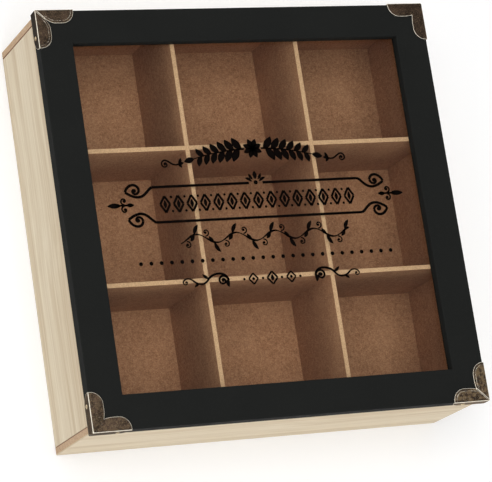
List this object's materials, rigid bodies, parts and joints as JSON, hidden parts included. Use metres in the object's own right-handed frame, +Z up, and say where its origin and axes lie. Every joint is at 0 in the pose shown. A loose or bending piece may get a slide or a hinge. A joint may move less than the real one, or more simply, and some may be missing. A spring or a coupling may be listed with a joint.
{
  "type": "tea bag organizer box",
  "caption": "Square wooden box with a grid of tea bag compartments under a hinged lid, a black frame round a glass pane with pressed metal corner guards.",
  "frame": {"origin": "middle of the lid's square seen from above, on the underside of the base panel", "axes": "+Z up out of the base, +X to the right, +Y to the hinges at the back"},
  "size_m": [0.2424, 0.2435, 0.0711],
  "materials": {
    "pale_wood": "pale wood-grain foil over fibreboard, satin",
    "fibreboard": "raw brown fibreboard, matte",
    "black_paint": "black paint on wood, matte to satin",
    "glass": "clear float glass",
    "antique_bronze": "antique bronze plate, worn bright on its rims",
    "nail_brass": "dull antique brass",
    "hinge_brass": "antique brass plate",
    "steel": "plain drawn wire"
  },
  "bodies": {
    "box": {"front_board": "pale_wood", "back_board": "pale_wood", "left_board": "pale_wood", "right_board": "pale_wood", "base_panel": "fibreboard", "cross_divider_front": "fibreboard", "cross_divider_back": "fibreboard", "upright_divider_left": "fibreboard", "upright_divider_right": "fibreboard", "hinge_left_lower_leaf": "hinge_brass", "hinge_left_pin": "steel", "hinge_right_lower_leaf": "hinge_brass", "hinge_right_pin": "steel", "hinge_box_screws": "hinge_brass"},
    "lid": {"lid_front_rail": "black_paint", "lid_back_rail": "black_paint", "lid_left_stile": "black_paint", "lid_right_stile": "black_paint", "glass_pane": "glass", "bead_front": "black_paint", "bead_back": "black_paint", "bead_left": "black_paint", "bead_right": "black_paint", "guard_front_left": "antique_bronze", "guard_front_right": "antique_bronze", "guard_back_left": "antique_bronze", "guard_back_right": "antique_bronze", "guard_nails": "nail_brass", "hinge_left_upper_leaf": "hinge_brass", "hinge_right_upper_leaf": "hinge_brass", "hinge_lid_screws": "hinge_brass"}
  },
  "joints": [
    {"name": "lid_hinge", "type": "hinge", "parent": "box", "child": "lid", "pos_m": [0, 0.1212, 0.0624], "axis": [-1, 0, 0], "range_deg": [0, 105]}
  ]
}
